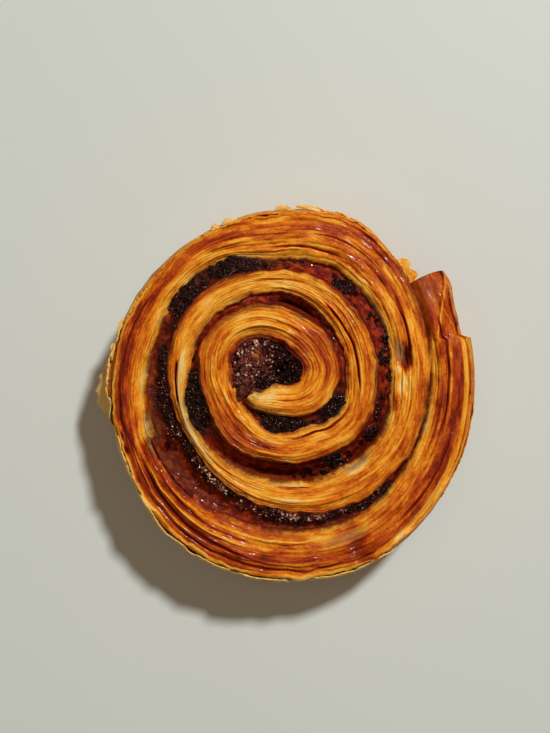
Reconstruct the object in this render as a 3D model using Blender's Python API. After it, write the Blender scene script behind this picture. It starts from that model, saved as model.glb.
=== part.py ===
"""A laminated cinnamon roll: one strip of buttered dough wound almost three and a half times.

A seam of dark cinnamon filling lies between the turns and swells into a plug in the middle.
Plan angles are in degrees, run anticlockwise from +X seen from above, and keep growing
outwards along the spiral, so that one turn further out is 360 degrees more.
The origin is at the middle of the roll's box, on the surface that it stands on.
"""

import math
import random

import bmesh
import bpy
from mathutils import Vector

MM = 0.001

# Where the middle of the spiral lies from the middle of the roll's box
MIDDLE_X_MM = -3.6
MIDDLE_Y_MM = 7.7

# Radii from the middle of the spiral at every twelfth of a turn, from the inside outwards
TABLE_STEP_DEG = 30.0
OUTER_START_DEG = 240.0
OUTER_FACE_MM = (
    12.3, 12.6, 15.6, 18.6, 19.8, 19.5, 18.3, 19.2, 20.4, 21.9, 21.9, 21.9,
    25.5, 27.0, 29.7, 32.4, 31.5, 30.6, 30.6, 29.4, 30.9, 31.2, 31.2, 31.5,
    35.4, 42.0, 46.8, 48.0, 47.4, 48.6, 50.7, 47.1, 45.0, 45.6, 48.0, 51.3,
    58.2, 62.7, 64.8, 62.1, 59.7, 60.0,
)
SEAM_WIDTH_MM = (
    1.8, 5.7, 4.2, 4.8, 1.8, 2.4, 4.5, 4.2, 2.1, 1.8, 2.7, 6.6,
    5.1, 6.0, 6.3, 5.4, 3.9, 5.4, 5.4, 3.6, 5.1, 4.5, 6.0, 9.9,
    9.6, 6.3, 4.2, 1.6, 1.6, 1.6, 1.6,
)
PLUG_START_DEG = -120.0
PLUG_FACE_MM = (6.9, 4.4, 5.0, 7.8, 9.4, 7.6, 7.4, 8.6, 10.8, 12.0, 12.1, 12.6)

# Ends of the strip and of the seam, and the stations that both are built on
STATION_DEG = 6
TIP_DEG = 228
SEAM_END_DEG = 1110
TAIL_DEG = 1470
PLUG_FROM_DEG = -138
SEAM_FROM_DEG = 192

# Before the strip's tip the seam runs inwards into the plug
SEAM_BLEND_DEG = 225.0
SEAM_BLEND_MM_PER_DEG = 0.12

# Heights
CREST_MIDDLE_MM = 37.0
CREST_RIM_MM = 29.5
INNER_DROP_MM = 2.0
OUTER_DROP_MM = 1.6
RIDGE_MM = 0.4
RIDGE_POINTS = 15
FILLING_BASE_MM = 0.4

# The seam is a wedge: as wide as shown at the top, and thin below
DEEP_SEAM_MM = 1.6
INNER_TURN_SHARE = 0.6
WEDGE_DEPTH_MM = 1.0
WEDGE_DEPTH_SHARE = 0.45
GROOVE_SHARE = 0.3
GAP_MM = 0.35
PLUG_GAP_MM = 0.5
FILLING_COVER_MM = 0.6
FILLING_POINTS = 5
CRUMB_MM = 0.35

# Outside of the last turn, as shares of the wedge's level and offsets from the outline
WALL_LEVELS = (0.08, 0.26, 0.44, 0.62, 0.8, 1.0)
WALL_OFFSETS_MM = (-0.8, 0.1, -0.5, 0.1, -0.6, -0.9)
RIM_INSET_MM = 1.7
FREE_RUN_DEG = 30.0

# Thin flakes that stand out of the foot and the side: angle, spread, reach and wall level
FLAKES = (
    (1268.0, 5.0, 6.0, 1),
    (1430.0, 18.0, 1.0, 3),
)

CRUST_COLOUR = (0.62, 0.27, 0.06, 1.0)
FILLING_COLOUR = (0.055, 0.018, 0.012, 1.0)


def clear_scene():
    """Removes what the file holds at the start."""
    for obj in list(bpy.data.objects):
        bpy.data.objects.remove(obj, do_unlink=True)


def smooth(share):
    """Eases a share from 0 to 1, and holds it at both ends."""
    share = min(1.0, max(0.0, share))
    return share * share * (3.0 - 2.0 * share)


def from_table(values, start, angle):
    """Reads a table with one value at every TABLE_STEP_DEG, along a smooth curve."""
    place = min(max((angle - start) / TABLE_STEP_DEG, 0.0), len(values) - 1.0)
    i = min(int(place), len(values) - 2)
    t = place - i
    before, here, there, after = (
        values[min(max(k, 0), len(values) - 1)] for k in (i - 1, i, i + 1, i + 2)
    )
    return here + 0.5 * t * (
        there - before
        + t * (2 * before - 5 * here + 4 * there - after + t * (3 * (here - there) + after - before))
    )


INNER_FACE_MM = PLUG_FACE_MM + tuple(a + b for a, b in zip(OUTER_FACE_MM, SEAM_WIDTH_MM))


def dough_outer(angle):
    """Radius of the strip's outer face at its top, which is the seam's inner edge."""
    return from_table(OUTER_FACE_MM, OUTER_START_DEG, angle)


def dough_inner(angle):
    """Radius of the strip's inner face at its top, which is the seam's outer edge one turn in."""
    return from_table(INNER_FACE_MM, PLUG_START_DEG, angle - 360.0)


def seam_spare(angle):
    """How much wider the seam is at its top than deep down."""
    if angle < OUTER_START_DEG:
        return 0.0
    return max(0.0, dough_inner(angle + 360.0) - dough_outer(angle) - DEEP_SEAM_MM)


def crest(angle):
    """Height of the strip's crest, which falls from the middle of the roll to its rim."""
    share = smooth((angle - TIP_DEG) / (TAIL_DEG - TIP_DEG))
    return CREST_MIDDLE_MM + (CREST_RIM_MM - CREST_MIDDLE_MM) * share


def inner_edge(angle):
    return crest(angle) - INNER_DROP_MM


def outer_edge(angle):
    return crest(angle) - OUTER_DROP_MM


def wedge_level(angle):
    """Height at which the seam has narrowed to its deep width."""
    lower = min(outer_edge(angle), inner_edge(angle + 360.0))
    return lower - WEDGE_DEPTH_MM - WEDGE_DEPTH_SHARE * (seam_spare(angle) + DEEP_SEAM_MM)


def flake_reach(angle, level):
    """How far the thin flakes stand out of one level of the outer wall."""
    return sum(
        reach * math.exp(-(((angle - middle) / spread) ** 2))
        for middle, spread, reach, at_level in FLAKES
        if at_level == level
    )


def place(angle, radius, height):
    """A point of the roll from its plan angle, radius and height in millimetres."""
    turn = math.radians(angle)
    return Vector(
        (
            (MIDDLE_X_MM + radius * math.cos(turn)) * MM,
            (MIDDLE_Y_MM + radius * math.sin(turn)) * MM,
            height * MM,
        )
    )


def top_profile(angle):
    """The strip's crowned top with its laminated ridges, from the outer edge to the inner one."""
    inner, outer = dough_inner(angle), outer_top(angle)
    points = []
    for i in range(RIDGE_POINTS):
        across = 1.0 - i / (RIDGE_POINTS - 1)
        edge = inner_edge(angle) + (outer_edge(angle) - inner_edge(angle)) * across
        crown = 1.0 - abs(2.0 * across - 1.0) ** 2.2
        sway = 0.7 + 0.3 * math.sin(math.radians(angle * 1.7) + 2.0 * i)
        ridge = RIDGE_MM * sway * (1 if i % 2 else -1) if 0 < i < RIDGE_POINTS - 1 else 0.0
        drop = INNER_DROP_MM + (OUTER_DROP_MM - INNER_DROP_MM) * across
        points.append((inner + (outer - inner) * across, edge + drop * crown + ridge))
    return points


def free_share(angle):
    """0 where the seam backs the strip's outer face, 1 where that face is the roll's outside."""
    return smooth((angle - SEAM_END_DEG) / FREE_RUN_DEG)


def outer_top(angle):
    return dough_outer(angle) - RIM_INSET_MM * free_share(angle)


def outer_wall(angle):
    """The strip's outer face from the bottom up, barrel-shaped on the outside of the roll."""
    deep = dough_outer(angle) + INNER_TURN_SHARE * seam_spare(angle) * (angle <= SEAM_END_DEG)
    free = free_share(angle)
    points = []
    for level, (share, offset) in enumerate(zip(WALL_LEVELS, WALL_OFFSETS_MM)):
        reach = (offset + flake_reach(angle, level)) * free
        points.append((deep + reach, share * wedge_level(angle)))
    return points


def dough_section(angle):
    """One closed cross-section of the strip as (radius, height) pairs."""
    inside = angle - 360.0
    deep_inner = dough_inner(angle) - (1.0 - INNER_TURN_SHARE) * seam_spare(inside)
    wall = outer_wall(angle)
    foot = wall[0][0] - 0.8 * free_share(angle) - flake_reach(angle, 0) * free_share(angle)
    return [
        (deep_inner, 0.0),
        (foot, 0.0),
        *wall,
        *top_profile(angle),
        (deep_inner, wedge_level(inside)),
    ]


def wedge_floor(angle, radius):
    """Height of the dough under the seam at a radius: the two flanks of its wedge."""
    spare = seam_spare(angle)
    inner, outer = dough_outer(angle), dough_inner(angle + 360.0)
    low = wedge_level(angle)
    inner_run, outer_run = INNER_TURN_SHARE * spare, (1.0 - INNER_TURN_SHARE) * spare
    if radius < inner + inner_run:
        return outer_edge(angle) + (low - outer_edge(angle)) * (radius - inner) / inner_run
    if radius > outer - outer_run:
        top = inner_edge(angle + 360.0)
        return top + (low - top) * (outer - radius) / outer_run
    return low


def filling_section(angle, crumbs):
    """One closed cross-section of the seam: a thin sheet below, a crumbly wedge on top."""
    spare = seam_spare(angle)
    inner, outer = dough_outer(angle), dough_inner(angle + 360.0)
    inner -= max(0.0, SEAM_BLEND_DEG - angle) * SEAM_BLEND_MM_PER_DEG
    inner_top = outer_edge(angle) - 0.7
    outer_top_height = inner_edge(angle + 360.0) - 0.5
    groove = GROOVE_SHARE * (spare + DEEP_SEAM_MM)
    top = []
    for i in range(FILLING_POINTS):
        v = 1.0 - i / (FILLING_POINTS - 1)
        radius = inner + GAP_MM + (outer - inner - 2 * GAP_MM) * v
        height = inner_top + (outer_top_height - inner_top) * v
        height -= groove * math.sin(math.pi * v**1.3)
        height += crumbs.uniform(-CRUMB_MM, CRUMB_MM)
        if spare > 0.0:
            height = max(height, wedge_floor(angle, radius) + FILLING_COVER_MM)
        top.append((radius, height))
    deep_in = inner + INNER_TURN_SHARE * spare + GAP_MM
    deep_out = outer - (1.0 - INNER_TURN_SHARE) * spare - GAP_MM
    low = wedge_level(angle)
    return [
        (deep_in, FILLING_BASE_MM),
        (deep_out, FILLING_BASE_MM),
        (deep_out, low),
        *top,
        (deep_in, low),
    ]


def plug_rings(crumbs):
    """The plug in the middle as stacked rings: foot, shoulder and three rings of its lumpy top."""
    angles = range(PLUG_FROM_DEG, PLUG_FROM_DEG + 360 + 1, STATION_DEG)
    top = inner_edge(PLUG_FROM_DEG + 360.0)
    rings = []
    for share, height, rough in (
        (1.0, FILLING_BASE_MM, 0.0),
        (1.0, top - 2.0, 0.0),
        (0.9, top - 0.6, 0.3),
        (0.55, top + 0.2, 0.6),
        (0.2, top - 0.4, 0.5),
    ):
        rings.append(
            [
                place(
                    angle,
                    (dough_inner(angle + 360.0) - PLUG_GAP_MM) * share,
                    height + crumbs.uniform(-rough, rough),
                )
                for angle in angles
            ]
        )
    return rings


def skin(name, rings):
    """A closed mesh object through rings of equal length, capped at both ends."""
    shape = bmesh.new()
    rows = [[shape.verts.new(point) for point in ring] for ring in rings]
    count = len(rows[0])
    for row, following in zip(rows, rows[1:]):
        for i in range(count):
            j = (i + 1) % count
            shape.faces.new((row[i], row[j], following[j], following[i]))
    shape.faces.new(rows[0][::-1])
    shape.faces.new(rows[-1])
    bmesh.ops.recalc_face_normals(shape, faces=shape.faces)
    if shape.calc_volume(signed=True) < 0.0:
        bmesh.ops.reverse_faces(shape, faces=shape.faces)
    mesh = bpy.data.meshes.new(name)
    shape.to_mesh(mesh)
    shape.free()
    return bpy.data.objects.new(name, mesh)


def material(name, colour, roughness):
    """A Principled material with the part's own colour."""
    made = bpy.data.materials.new(name)
    made.use_nodes = True
    shader = made.node_tree.nodes["Principled BSDF"]
    shader.inputs["Base Color"].default_value = colour
    shader.inputs["Roughness"].default_value = roughness
    shader.inputs["Metallic"].default_value = 0.0
    made.diffuse_color = colour
    return made


def make_dough(collection):
    """The dough strip as one solid, from its tip in the middle to its squared-off tail."""
    rings = [
        [place(angle, radius, height) for radius, height in dough_section(angle)]
        for angle in range(TIP_DEG, TAIL_DEG + 1, STATION_DEG)
    ]
    dough = skin("dough", rings)
    collection.objects.link(dough)
    dough.data.materials.append(material("baked_dough", CRUST_COLOUR, 0.45))
    dough.data.shade_smooth()
    return dough


def make_filling(collection):
    """The plug and the seam joined into one solid."""
    crumbs = random.Random(7)
    rings = [
        [place(angle, radius, height) for radius, height in filling_section(angle, crumbs)]
        for angle in range(SEAM_FROM_DEG, SEAM_END_DEG + 1, STATION_DEG)
    ]
    seam = skin("cinnamon_filling", rings)
    plug = skin("plug", plug_rings(crumbs))
    collection.objects.link(seam)
    collection.objects.link(plug)
    join = seam.modifiers.new("plug", "BOOLEAN")
    join.operation = "UNION"
    join.solver = "EXACT"
    join.object = plug
    bpy.context.view_layer.update()
    joined = bpy.data.meshes.new_from_object(
        seam.evaluated_get(bpy.context.evaluated_depsgraph_get())
    )
    seam.modifiers.clear()
    seam.data = joined
    bpy.data.objects.remove(plug, do_unlink=True)
    seam.data.materials.clear()
    seam.data.materials.append(material("cinnamon_sugar", FILLING_COLOUR, 0.5))
    return seam


def main():
    clear_scene()
    collection = bpy.data.collections.new("cinnamon_roll")
    bpy.context.scene.collection.children.link(collection)
    make_dough(collection)
    make_filling(collection)


main()
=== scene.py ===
"""The looks of the laminated cinnamon roll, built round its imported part.

Plan angles are in degrees, run anticlockwise from +X seen from above, and keep growing
outwards along the spiral. Lengths ending in _MM are millimetres, all others are metres.
"""

import math

import bpy
import numpy as np
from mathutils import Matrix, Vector


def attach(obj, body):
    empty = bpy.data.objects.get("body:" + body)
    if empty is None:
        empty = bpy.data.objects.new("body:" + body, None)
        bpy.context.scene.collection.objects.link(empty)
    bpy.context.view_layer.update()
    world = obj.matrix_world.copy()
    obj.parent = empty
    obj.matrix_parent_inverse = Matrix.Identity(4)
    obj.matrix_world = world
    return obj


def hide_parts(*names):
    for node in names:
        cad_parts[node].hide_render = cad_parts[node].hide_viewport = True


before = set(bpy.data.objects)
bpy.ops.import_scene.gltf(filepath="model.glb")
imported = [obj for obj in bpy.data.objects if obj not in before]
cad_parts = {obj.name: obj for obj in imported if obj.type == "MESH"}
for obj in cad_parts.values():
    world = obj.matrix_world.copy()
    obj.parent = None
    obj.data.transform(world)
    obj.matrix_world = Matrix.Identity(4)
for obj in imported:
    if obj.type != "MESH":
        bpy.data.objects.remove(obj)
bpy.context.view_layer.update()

MM = 0.001

# The part's own form, with the last turn a little wider and the end of the seam narrower
MIDDLE_X_MM = -3.6
MIDDLE_Y_MM = 7.7
TABLE_STEP_DEG = 30.0
OUTER_START_DEG = 240.0
OUTER_FACE_MM = (
    12.3, 12.6, 15.6, 18.6, 19.8, 19.5, 18.3, 19.2, 20.4, 21.9, 21.9, 21.9,
    25.5, 27.0, 29.7, 32.4, 31.5, 30.6, 30.6, 29.4, 30.9, 31.2, 31.2, 31.5,
    35.4, 42.0, 46.8, 48.0, 47.4, 48.6, 51.9, 48.2, 46.1, 46.7, 49.2, 52.5,
    59.4, 63.9, 66.0, 63.9, 61.6, 61.2,
)
SEAM_WIDTH_MM = (
    1.8, 5.7, 4.2, 4.8, 1.8, 2.4, 4.5, 4.2, 2.1, 1.8, 2.7, 6.6,
    5.1, 6.0, 6.3, 5.4, 3.9, 5.4, 5.4, 3.6, 5.1, 4.5, 6.0, 9.9,
    9.6, 6.3, 4.2, 1.1, 0.3, 0.3, 0.3,
)
PLUG_START_DEG = -120.0
PLUG_FACE_MM = (6.9, 4.4, 4.9, 8.0, 9.4, 7.6, 7.4, 8.6, 10.8, 12.0, 12.1, 12.6)
INNER_FACE_MM = PLUG_FACE_MM + tuple(a + b for a, b in zip(OUTER_FACE_MM, SEAM_WIDTH_MM))
TIP_DEG, TAIL_DEG = 228.0, 1470.0
SEAM_FROM_DEG, SEAM_END_DEG = 200.0, 1110.0
CREST_MIDDLE_MM, CREST_RIM_MM = 37.0, 29.5
INNER_DROP_MM, OUTER_DROP_MM = 2.0, 1.6
DEEP_SEAM_MM = 1.6
SEAM_CLEAR_MM = 0.2
FILLING_BASE_MM = 0.3
INNER_TURN_SHARE = 0.6
WEDGE_DEPTH_MM, WEDGE_DEPTH_SHARE = 1.0, 0.45
RIM_INSET_MM = 1.4
# Before the strip's tip the seam runs inwards into the plug
SEAM_BLEND_DEG, SEAM_BLEND_MM_PER_DEG = 225.0, 0.12
FREE_RUN_DEG = 30.0
# Near the tail an outer sheet ends square, and past it the rim is set back
SHELF_FROM_DEG, SHELF_TO_DEG, SHELF_MM, SHELF_DROP_MM = 1389.0, 1450.0, 2.5, 2.8
# The tail's end bulges forward at its inner side and is rounded at its outer corner
TAIL_BULGE_DEG, TAIL_SKEW_DEG, TAIL_CORNER_DEG = 2.1, 2.2, 1.0

# How finely the looks are built
DOUGH_STATIONS = 1090
SHEETS = 11
WALL_POINTS = 26
FLANK_POINTS = 4
SEAM_STATIONS = 1900
SEAM_POINTS = 26


def eased(share):
    """Eases shares from 0 to 1 and holds them at both ends."""
    share = np.clip(share, 0.0, 1.0)
    return share * share * (3.0 - 2.0 * share)


LATTICES = {}


def waves(x, y, seed):
    """Smooth noise from -1 to 1 at arrays of places, one lattice cell to the unit."""
    if seed not in LATTICES:
        LATTICES[seed] = np.random.default_rng(seed).uniform(-1.0, 1.0, (256, 256))
    grid = LATTICES[seed]
    x, y = np.broadcast_arrays(np.asarray(x, float), np.asarray(y, float))
    xi, yi = np.floor(x).astype(int), np.floor(y).astype(int)
    fx, fy = x - xi, y - yi
    fx, fy = fx * fx * (3 - 2 * fx), fy * fy * (3 - 2 * fy)
    x0, x1, y0, y1 = xi % 256, (xi + 1) % 256, yi % 256, (yi + 1) % 256
    low = grid[x0, y0] * (1 - fx) + grid[x1, y0] * fx
    high = grid[x0, y1] * (1 - fx) + grid[x1, y1] * fx
    return low * (1 - fy) + high * fy


def bump(value, middle, spread):
    """A soft bell round a middle."""
    return np.exp(-(((value - middle) / spread) ** 2))


def patch(angle, across, zone, spread, share, width):
    """A soft patch, by its angle along the spiral and its share across."""
    return bump(angle, zone, spread) * bump(across, share, width)


def stacked(*parts):
    return np.stack(np.broadcast_arrays(*parts), -1)


def from_table(values, start, angle):
    """Reads a table with one value at every TABLE_STEP_DEG, along a smooth curve."""
    values = np.asarray(values)
    place = np.clip((np.asarray(angle, float) - start) / TABLE_STEP_DEG, 0.0, len(values) - 1.0)
    i = np.minimum(place.astype(int), len(values) - 2)
    t = place - i
    before, here, there, after = (
        values[np.clip(k, 0, len(values) - 1)] for k in (i - 1, i, i + 1, i + 2)
    )
    return here + 0.5 * t * (
        there - before
        + t * (2 * before - 5 * here + 4 * there - after + t * (3 * (here - there) + after - before))
    )


def dough_outer(angle):
    return from_table(OUTER_FACE_MM, OUTER_START_DEG, angle)


def dough_inner(angle):
    return from_table(INNER_FACE_MM, PLUG_START_DEG, angle - 360.0)


def seam_spare(angle):
    spare = np.maximum(0.0, dough_inner(angle + 360.0) - dough_outer(angle) - DEEP_SEAM_MM)
    return np.where(angle < OUTER_START_DEG, 0.0, spare)


def crest(angle):
    share = eased((angle - TIP_DEG) / (TAIL_DEG - TIP_DEG))
    return CREST_MIDDLE_MM + (CREST_RIM_MM - CREST_MIDDLE_MM) * share


def inner_edge(angle):
    return crest(angle) - INNER_DROP_MM


def outer_edge(angle):
    return crest(angle) - OUTER_DROP_MM


def wedge_level(angle):
    lower = np.minimum(outer_edge(angle), inner_edge(angle + 360.0))
    return lower - WEDGE_DEPTH_MM - WEDGE_DEPTH_SHARE * (seam_spare(angle) + DEEP_SEAM_MM)


def rim_radius(angle):
    """The outside of the strip as its looks have it, set back past the square-ended outer sheet."""
    past = eased((angle - SHELF_TO_DEG + 0.6) / 1.2) * eased((TAIL_DEG + 4.0 - angle) / 18.0)
    return dough_outer(angle) - SHELF_MM * past


def wall_radius(a, share):
    """The smooth barrel shape of the last turn's outside, at shares of its height."""
    return rim_radius(a) - 0.9 * np.abs(2 * share - 1) ** 3 - 0.9 * eased((share - 0.86) / 0.14)


def free_share(angle):
    return eased((angle - SEAM_END_DEG) / FREE_RUN_DEG)


def place(angle, radius, height):
    """Points of the roll, in metres, from plan angles, radii and heights in millimetres."""
    turn = np.radians(angle)
    x = MIDDLE_X_MM + radius * np.cos(turn)
    y = MIDDLE_Y_MM + radius * np.sin(turn)
    return stacked(x, y, height) * MM


def along(first, last, count, radius):
    """Stations evenly spaced along the strip: their angles and the distance run, in millimetres."""
    dense = np.arange(first, last + 0.1, 0.2)
    run = np.concatenate([[0.0], np.cumsum(radius(dense)[1:] * math.radians(0.2))])
    distance = np.linspace(0.0, run[-1], count)
    return np.interp(distance, run, dense), distance


def grid_faces(rows, columns, ring, offset=0):
    """Quads over a grid of points, closed round each row if it is a ring."""
    i = np.arange(rows - 1)[:, None] * columns
    j = np.arange(columns if ring else columns - 1)[None, :]
    k = (j + 1) % columns
    quads = np.stack([i + j, i + k, i + columns + k, i + columns + j], -1)
    return (quads.reshape(-1, 4) + offset).tolist()


def closed_faces(rows, columns):
    """Faces of a closed outline swept along the spiral, with a cap at both ends."""
    faces = grid_faces(rows, columns, True)
    faces.append(list(range(columns))[::-1])
    faces.append([(rows - 1) * columns + j for j in range(columns)])
    return faces


def piece(name, points, faces, values, strip=None, smooth=True):
    """A mesh object from points in metres, with named values and places on the strip."""
    mesh = bpy.data.meshes.new(name)
    mesh.from_pydata(points.reshape(-1, 3).tolist(), [], faces)
    for key, numbers in values.items():
        layer = mesh.attributes.new(key, "FLOAT", "POINT")
        layer.data.foreach_set("value", np.ascontiguousarray(numbers, np.float32).ravel())
    if strip is not None:
        layer = mesh.attributes.new("strip", "FLOAT_VECTOR", "POINT")
        layer.data.foreach_set("vector", np.ascontiguousarray(strip, np.float32).ravel())
    mesh.update()
    if smooth:
        mesh.shade_smooth()
    made = bpy.data.objects.new(name, mesh)
    bpy.context.scene.collection.objects.link(made)
    return made


# In each table of patches a row starts with an angle, its spread, a share across and its spread

# Browned and pale zones of the dough, with how much they brown it
ZONES = (
    (262, 30, 0.5, 0.8, -0.4),
    (325, 25, 0.8, 0.25, -0.12),
    (480, 110, 0.0, 0.1, 0.3),
    (395, 45, 0.04, 0.14, 0.4),
    (520, 30, 0.6, 0.4, 0.12),
    (395, 55, 0.75, 0.35, 0.12),
    (468, 45, 0.45, 0.3, -0.1),
    (520, 40, 0.04, 0.15, 0.16),
    (575, 34, 0.85, 0.25, 0.2),
    (622, 20, 0.55, 0.1, 0.34),
    (660, 35, 0.3, 0.4, -0.1),
    (728, 26, 0.12, 0.16, 0.24),
    (725, 30, 0.7, 0.3, 0.02),
    (835, 70, 0.5, 0.6, -0.2),
    (860, 50, 0.95, 0.2, 0.16),
    (915, 34, 0.35, 0.14, -0.3),
    (950, 40, 0.5, 0.2, -0.26),
    (1000, 30, 0.12, 0.1, -0.2),
    (1010, 50, 0.6, 0.4, -0.06),
    (1050, 50, 0.85, 0.2, 0.1),
    (1086, 24, 0.6, 0.3, -0.16),
    (1118, 28, 0.5, 0.16, 0.2),
    (1131, 9, 0.88, 0.14, 0.45),
    (1130, 11, 0.42, 0.12, 0.18),
    (1120, 20, 0.72, 0.1, -0.14),
    (1150, 16, 0.72, 0.08, 0.12),
    (1165, 40, 0.1, 0.14, -0.04),
    (1205, 60, 0.62, 0.14, 0.24),
    (1235, 45, 0.12, 0.14, -0.1),
    (1255, 42, 1.0, 0.05, -0.42),
    (1262, 34, 0.75, 0.2, 0.32),
    (1281, 8, 0.06, 0.13, -0.3),
    (1290, 24, 0.3, 0.14, 0.14),
    (1310, 20, 0.78, 0.09, 0.16),
    (1333, 20, 0.05, 0.07, 0.14),
    (1324, 36, 0.6, 0.18, 0.28),
    (1335, 26, 0.9, 0.1, 0.1),
    (1335, 80, 0.5, 0.5, 0.07),
    (1325, 52, 1.0, 0.1, -0.4),
    (1386, 18, 0.32, 0.14, 0.12),
    (1110, 26, 0.05, 0.06, -0.1),
    (1400, 36, 0.72, 0.2, 0.22),
    (1436, 30, 0.62, 0.24, 0.32),
    (1434, 40, 0.26, 0.12, 0.22),
    (410, 95, 0.0, 0.14, 0.26),
    (1425, 45, 0.1, 0.12, -0.12),
)

FOLD_DEG = 1288.0
WALL_TONE = 0.46

# Hollows and raw patches, with depth, below 0 for a bulge, and change of tone; a hollow's darker tone is
# painted shade, a raw patch's paler tone its own colour
PITS = (
    (1085.0, 5.2, 0.4, 0.13, 4.6, 0.95),
    (1073.5, 4.4, 0.3, 0.14, 0.7, -0.5),
    (1065.0, 3.5, 0.12, 0.07, 0.3, 0.4),
    (1293.5, 3.6, 0.02, 0.1, 2.0, 0.5),
    (1032.0, 6.5, 0.14, 0.1, 0.4, -0.36),
    (1376.0, 2.4, 0.6, 0.5, 0.9, 0.3),
    (1379.0, 5.0, 0.3, 0.1, 0.2, -0.3),
    (1284.0, 1.5, 0.93, 0.05, 1.3, 0.5),
    (1289.0, 1.7, 0.91, 0.06, 1.3, 0.5),
    (1388.0, 2.6, 0.9, 0.07, 0.5, -0.45),
    (1080.5, 1.4, 0.2, 0.07, -0.3, -0.7),
)

# Wet see-through patches of the dough, with how clear they are
BARE = (
    (1088.5, 4.6, 0.26, 0.12, 1.0),
    (1106.0, 14.0, 0.03, 0.05, 0.8),
    (1291.5, 4.0, 0.1, 0.1, 0.95),
    (1032.0, 8.0, 0.1, 0.08, 0.9),
    (1054.0, 6.0, 0.0, 0.07, 0.8),
    (1374.0, 7.0, 0.32, 0.1, 0.55),
    (1466.0, 6.0, 0.3, 0.4, 0.12),
)

CRACK_MM = 0.26

# Gaps between sheets: first and last angle, share across at both, depth, below 0 for a ridge
CRACKS = (
    (704, 773, 0.43, 0.33, 2.4),
    (640, 690, 0.22, 0.24, 1.2),
    (893, 921, 0.63, 0.62, 2.2),
    (1136, 1173, 0.24, 0.27, 1.6),
    (1080, 1112, 0.55, 0.5, 1.2),
    (1118, 1136, 0.2, 0.2, 0.9),
    (990, 1008, 0.22, 0.2, 0.9),
    (1296, 1350, 0.52, 0.7, 1.1),
    (1310, 1390, 0.78, 0.86, 1.2),
    (1300, 1345, 0.3, 0.36, 0.9),
    (1225, 1290, 0.72, 0.82, 1.0),
    (1400, 1460, 0.38, 0.45, 1.0),
    (1385, 1440, 0.62, 0.7, 0.8),
    (560, 610, 0.6, 0.55, 0.7),
    (650, 700, 0.24, 0.2, 1.2),
    (505, 580, 0.55, 0.34, -0.6),
    (515, 610, 0.95, 0.93, -0.6),
    (590, 640, 0.3, 0.35, -0.5),
    (430, 480, 0.6, 0.7, -0.5),
    (380, 420, 0.5, 0.62, -0.5),
    (884, 960, 0.42, 0.5, -0.8),
    (1292, 1345, 0.42, 0.46, -0.9),
    (1288, 1330, 0.66, 0.72, -0.8),
    (1300, 1375, 0.24, 0.2, -0.5),
    (735, 800, 0.82, 0.7, -0.6),
    (1020, 1075, 0.5, 0.62, -0.5),
)


def frayed(s, seed):
    """How far the strip's edge wanders from its smooth line."""
    return 0.45 * waves(s / 6, 0.0, seed) + 0.3 * waves(s / 1.7, 0.0, seed) + 0.2 * waves(s / 0.8, 0.0, seed)


def folded_tail(a, shares, height, relief, brown):
    """The smooth flap at the strip's end, and the crease that runs inwards from its outer corner."""
    near_end = eased((a - 1446.0) / 8.0)
    crease = 0.99 - 0.042 * (1467.5 - a)
    second = 0.72 + 0.027 * (1458.0 - a)
    flap = near_end * eased((crease - shares) / 0.06)
    beyond = near_end * eased((shares - crease) / 0.3)
    height = height - 0.95 * np.maximum(flap, beyond) * relief
    height = height - 1.2 * flap * eased((a - 1454.0) / 17.0) - 1.4 * beyond
    ridges = bump(shares, crease, 0.035) + 0.6 * bump(shares, second, 0.03) * eased((1460.0 - a) / 3.0)
    height = height + 0.7 * near_end * ridges
    brown = brown + (0.74 - brown) * 0.9 * flap + (0.76 - brown) * 0.8 * beyond
    # The crease's raised ridges are painted paler as a highlight.
    return height, brown - 0.3 * near_end * np.clip(ridges, 0, 1)


def fold(a, shares, height, brown):
    """Where the last turn's inner band tucks under a new one, at the lower left."""
    past = eased((a - FOLD_DEG) / 4.0)
    band = eased((0.42 - shares) / 0.1)
    fades = eased((FOLD_DEG + 62.0 - a) / 50.0)
    height = height - 2.0 * past * band * fades
    brown = brown + 0.3 * past * band * fades
    lip = bump(a, FOLD_DEG - 3.0, 4.0) * band
    lens = bump(shares, 0.5 + 0.003 * (a - FOLD_DEG), 0.05) * eased((a - FOLD_DEG) / 8.0) * fades
    return height + 0.5 * lip - 0.9 * lens, brown - 0.25 * lip + 0.45 * lens


# Points across each sheet: share across, how much of its groove's depth, and lift
SHEET_PROFILE = (
    (0.0, -1.0, 0.0),
    (0.15, -0.12, 0.0),
    (0.4, 0.0, 0.05),
    (0.65, 0.0, 0.03),
    (0.87, 0.0, -0.18),
)


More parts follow.
